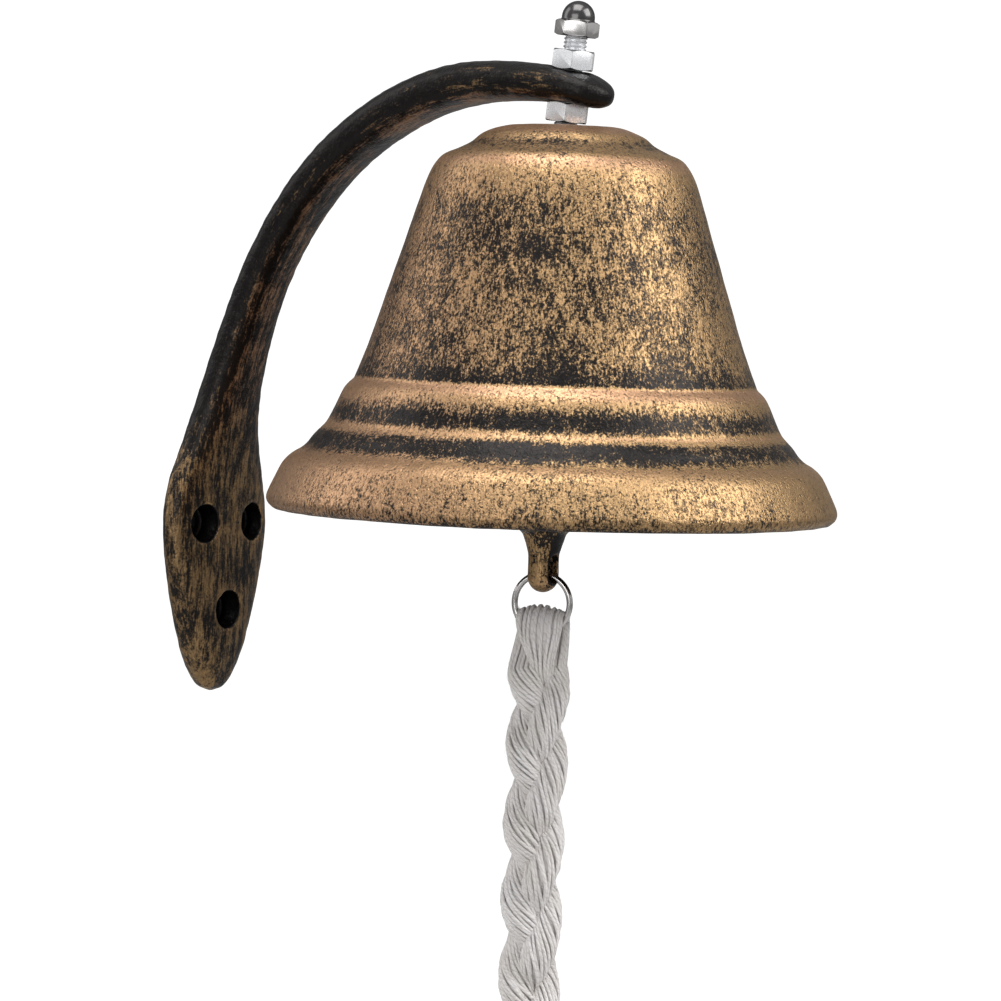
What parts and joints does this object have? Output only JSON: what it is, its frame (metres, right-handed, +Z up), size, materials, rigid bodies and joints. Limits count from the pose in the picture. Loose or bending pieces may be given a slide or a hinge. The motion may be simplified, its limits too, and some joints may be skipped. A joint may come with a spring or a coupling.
{
  "type": "wall bell",
  "caption": "Wall mounted bell hung from a swept cast bracket on a threaded stud, with a swinging clapper, pull ring and plaited rope.",
  "frame": {"origin": "on the wall, on the flat back of the plate, midway between the two upper screw holes", "axes": "+Z up, -Y out of the wall along the bracket's arm, +X to the right seen from the room's far side facing +Y"},
  "size_m": [0.1862, 0.2406, 0.4756],
  "materials": {
    "aged_bracket": "black casting with rubbed bronze streaks",
    "bell_bronze": "satin bronze brushed over black on a fine cast grain",
    "zinc": "bright zinc plate",
    "chrome": "polished",
    "ring_steel": "bright drawn wire",
    "cotton": "soft plaited yarn"
  },
  "bodies": {
    "bracket": {"wall_bracket": "aged_bracket", "eye_bolt": "zinc", "cap_nut": "chrome", "arm_upper_nut": "zinc", "arm_lower_nut": "zinc", "bell_seat_nut": "zinc"},
    "bell_seat": {"bell_seat_washer": "zinc"},
    "bell": {"bell": "bell_bronze"},
    "link": {"clapper_link": "ring_steel"},
    "clapper": {"clapper": "bell_bronze"},
    "ring": {"pull_ring": "ring_steel"},
    "rope": {"rope_bight": "cotton", "rope_braid": "cotton", "rope_knot": "cotton", "rope_tassel": "cotton"}
  },
  "joints": [
    {"name": "bell_rock", "type": "hinge", "parent": "bracket", "child": "bell_seat", "pos_m": [0, -0.1475, 0.132], "axis": [1, 0, 0], "range_deg": [-2.5, 2.5]},
    {"name": "bell_turn", "type": "hinge", "parent": "bell_seat", "child": "bell", "pos_m": [0, -0.1475, 0.132], "axis": [0, 0, 1], "continuous": true},
    {"name": "link_swing", "type": "hinge", "parent": "bracket", "child": "link", "pos_m": [0, -0.14512, 0.10237], "axis": [0, 1, 0], "range_deg": [-14, 14]},
    {"name": "clapper_swing", "type": "hinge", "parent": "link", "child": "clapper", "pos_m": [0, -0.14512, 0.08703], "axis": [1, 0, 0], "range_deg": [-30, 30]},
    {"name": "ring_swing", "type": "hinge", "parent": "clapper", "child": "ring", "pos_m": [0, -0.14512, -0.0089], "axis": [0.2924, -0.9563, 0], "range_deg": [-20, 20]},
    {"name": "rope_swing", "type": "hinge", "parent": "ring", "child": "rope", "pos_m": [0, -0.14512, -0.01835], "axis": [-0.9563, -0.2924, 0], "range_deg": [-25, 25]}
  ]
}
